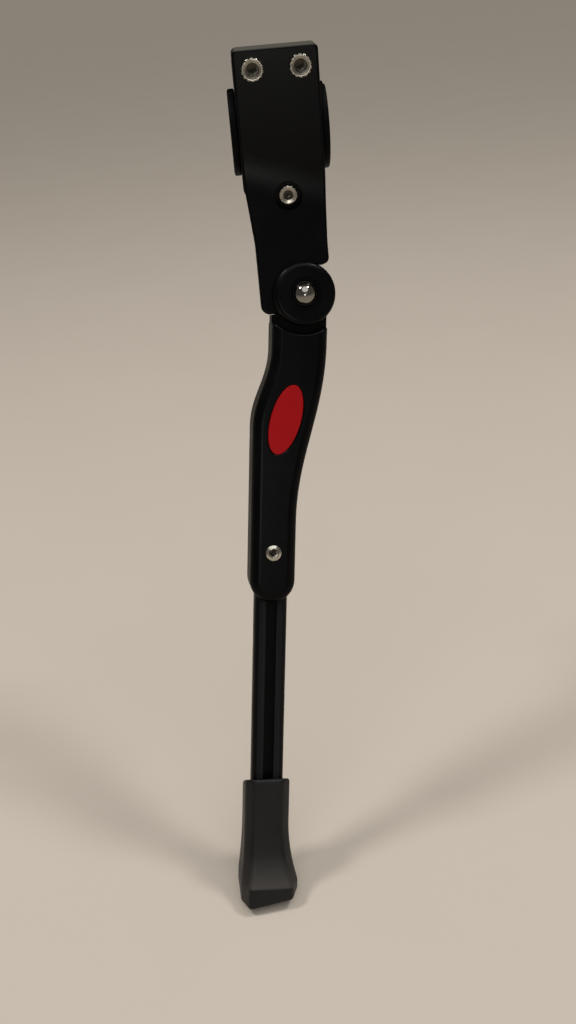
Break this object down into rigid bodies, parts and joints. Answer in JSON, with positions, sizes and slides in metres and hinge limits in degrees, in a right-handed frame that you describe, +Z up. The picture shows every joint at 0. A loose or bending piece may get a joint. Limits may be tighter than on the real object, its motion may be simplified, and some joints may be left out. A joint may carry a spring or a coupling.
{
  "type": "bicycle kickstand",
  "caption": "Adjustable bicycle kickstand: padded chainstay clamp with a slotted knuckle, a bent leg that folds on a sprung detent, a sliding grooved lower leg and a flared rubber foot.",
  "frame": {"origin": "middle of the clamp, on the axis of the chainstay it holds", "axes": "+X along the stay to the rear wheel, -Y away from the bicycle on its left side, +Z up; the leg is down"},
  "size_m": [0.0687, 0.1454, 0.3417],
  "materials": {
    "black_casting": "satin",
    "black_tube": "satin",
    "clamp_rubber": "matte",
    "foot_rubber": "matte",
    "zinc_steel": "polished",
    "chrome_pin": "polished",
    "nylon": "matte",
    "red_oval": "satin"
  },
  "bodies": {
    "bracket": {"bracket": "black_casting", "front_pad": "clamp_rubber", "clamp_bolt_front": "zinc_steel", "clamp_bolt_rear": "zinc_steel", "lower_bolt": "zinc_steel", "pivot_pin": "chrome_pin", "pivot_washer": "zinc_steel", "thrust_washer_front": "nylon", "thrust_washer_rear": "nylon", "detent_spring": "zinc_steel"},
    "rear_jaw": {"rear_jaw": "black_casting", "rear_pad": "clamp_rubber", "clamp_nut_front": "zinc_steel", "clamp_nut_rear": "zinc_steel", "lower_nut": "zinc_steel"},
    "upper_leg": {"upper_leg": "black_casting", "oval_badge": "red_oval", "lock_screw": "zinc_steel"},
    "lower_leg": {"lower_leg": "black_tube", "foot": "foot_rubber"},
    "detent_plunger": {"detent_plunger": "zinc_steel"}
  },
  "joints": [
    {"name": "leg_fold", "type": "hinge", "parent": "bracket", "child": "upper_leg", "pos_m": [0.0027, -0.0245, -0.0612], "axis": [0.1, -0.9511, 0.2924], "range_deg": [0, 98.5]},
    {"name": "leg_height", "type": "slide", "parent": "upper_leg", "child": "lower_leg", "axis": [0.1168, 0.303, 0.9458], "range_m": [-0.015, 0.022]},
    {"name": "jaw_slide", "type": "slide", "parent": "bracket", "child": "rear_jaw", "axis": [0, 1, 0], "range_m": [-0.004, 0.008]},
    {"name": "detent_slide", "type": "slide", "parent": "bracket", "child": "detent_plunger", "axis": [-0.0306, 0.2908, 0.9563], "range_m": [-0.0008, 0], "stiffness_N_per_m": 400, "springref_m": -0.005}
  ]
}
